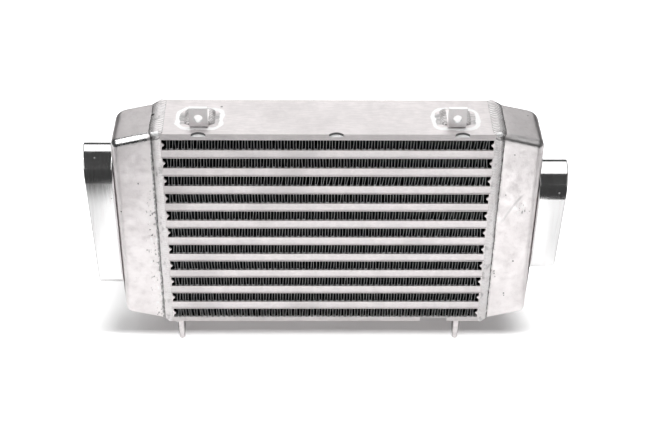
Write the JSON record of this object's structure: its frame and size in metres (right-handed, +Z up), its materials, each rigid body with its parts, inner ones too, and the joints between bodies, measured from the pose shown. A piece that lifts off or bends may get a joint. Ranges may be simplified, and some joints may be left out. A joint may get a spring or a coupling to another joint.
{
  "type": "intercooler",
  "caption": "Bar-and-plate air-to-air charge cooler with cast end tanks, oval hose spigots of two sizes, bolt lugs on top and locating pins below.",
  "frame": {"origin": "midway between the two lug holes, on the front faces of the lugs", "axes": "+X along the charge air path from the tall spigot to the short one, +Y from the cooled front face to the back, +Z up through the lugs"},
  "size_m": [0.3943, 0.0531, 0.2335],
  "materials": {
    "fin_aluminium": "thin rolled sheet, dull after brazing",
    "bar_aluminium": "satin extruded bar, brazed",
    "plate_aluminium": "satin sheet with fine scratches, brazed",
    "cast_aluminium": "satin cast skin, belt-polished on the spigots",
    "weld_aluminium": "rippled TIG bead",
    "lug_aluminium": "sawn and folded sheet",
    "pin_aluminium": "turned rod"
  },
  "bodies": {
    "root": {"top_side_plate": "plate_aluminium", "bottom_side_plate": "plate_aluminium", "ambient_fin_01": "fin_aluminium", "end_bars_01": "bar_aluminium", "charge_tube_01": "bar_aluminium", "turbulator_01": "fin_aluminium", "ambient_fin_02": "fin_aluminium", "end_bars_02": "bar_aluminium", "charge_tube_02": "bar_aluminium", "turbulator_02": "fin_aluminium", "ambient_fin_03": "fin_aluminium", "end_bars_03": "bar_aluminium", "charge_tube_03": "bar_aluminium", "turbulator_03": "fin_aluminium", "ambient_fin_04": "fin_aluminium", "end_bars_04": "bar_aluminium", "charge_tube_04": "bar_aluminium", "turbulator_04": "fin_aluminium", "ambient_fin_05": "fin_aluminium", "end_bars_05": "bar_aluminium", "charge_tube_05": "bar_aluminium", "turbulator_05": "fin_aluminium", "ambient_fin_06": "fin_aluminium", "end_bars_06": "bar_aluminium", "charge_tube_06": "bar_aluminium", "turbulator_06": "fin_aluminium", "ambient_fin_07": "fin_aluminium", "end_bars_07": "bar_aluminium", "charge_tube_07": "bar_aluminium", "turbulator_07": "fin_aluminium", "ambient_fin_08": "fin_aluminium", "end_bars_08": "bar_aluminium", "charge_tube_08": "bar_aluminium", "turbulator_08": "fin_aluminium", "ambient_fin_09": "fin_aluminium", "end_bars_09": "bar_aluminium", "charge_tube_09": "bar_aluminium", "turbulator_09": "fin_aluminium", "ambient_fin_10": "fin_aluminium", "end_bars_10": "bar_aluminium", "charge_tube_10": "bar_aluminium", "turbulator_10": "fin_aluminium", "ambient_fin_11": "fin_aluminium", "end_bars_11": "bar_aluminium", "left_tank": "cast_aluminium", "right_tank": "cast_aluminium", "left_tank_weld": "weld_aluminium", "right_tank_weld": "weld_aluminium", "left_lug": "lug_aluminium", "right_lug": "lug_aluminium", "left_lug_weld": "weld_aluminium", "right_lug_weld": "weld_aluminium", "locating_pins": "pin_aluminium"}
  },
  "joints": []
}
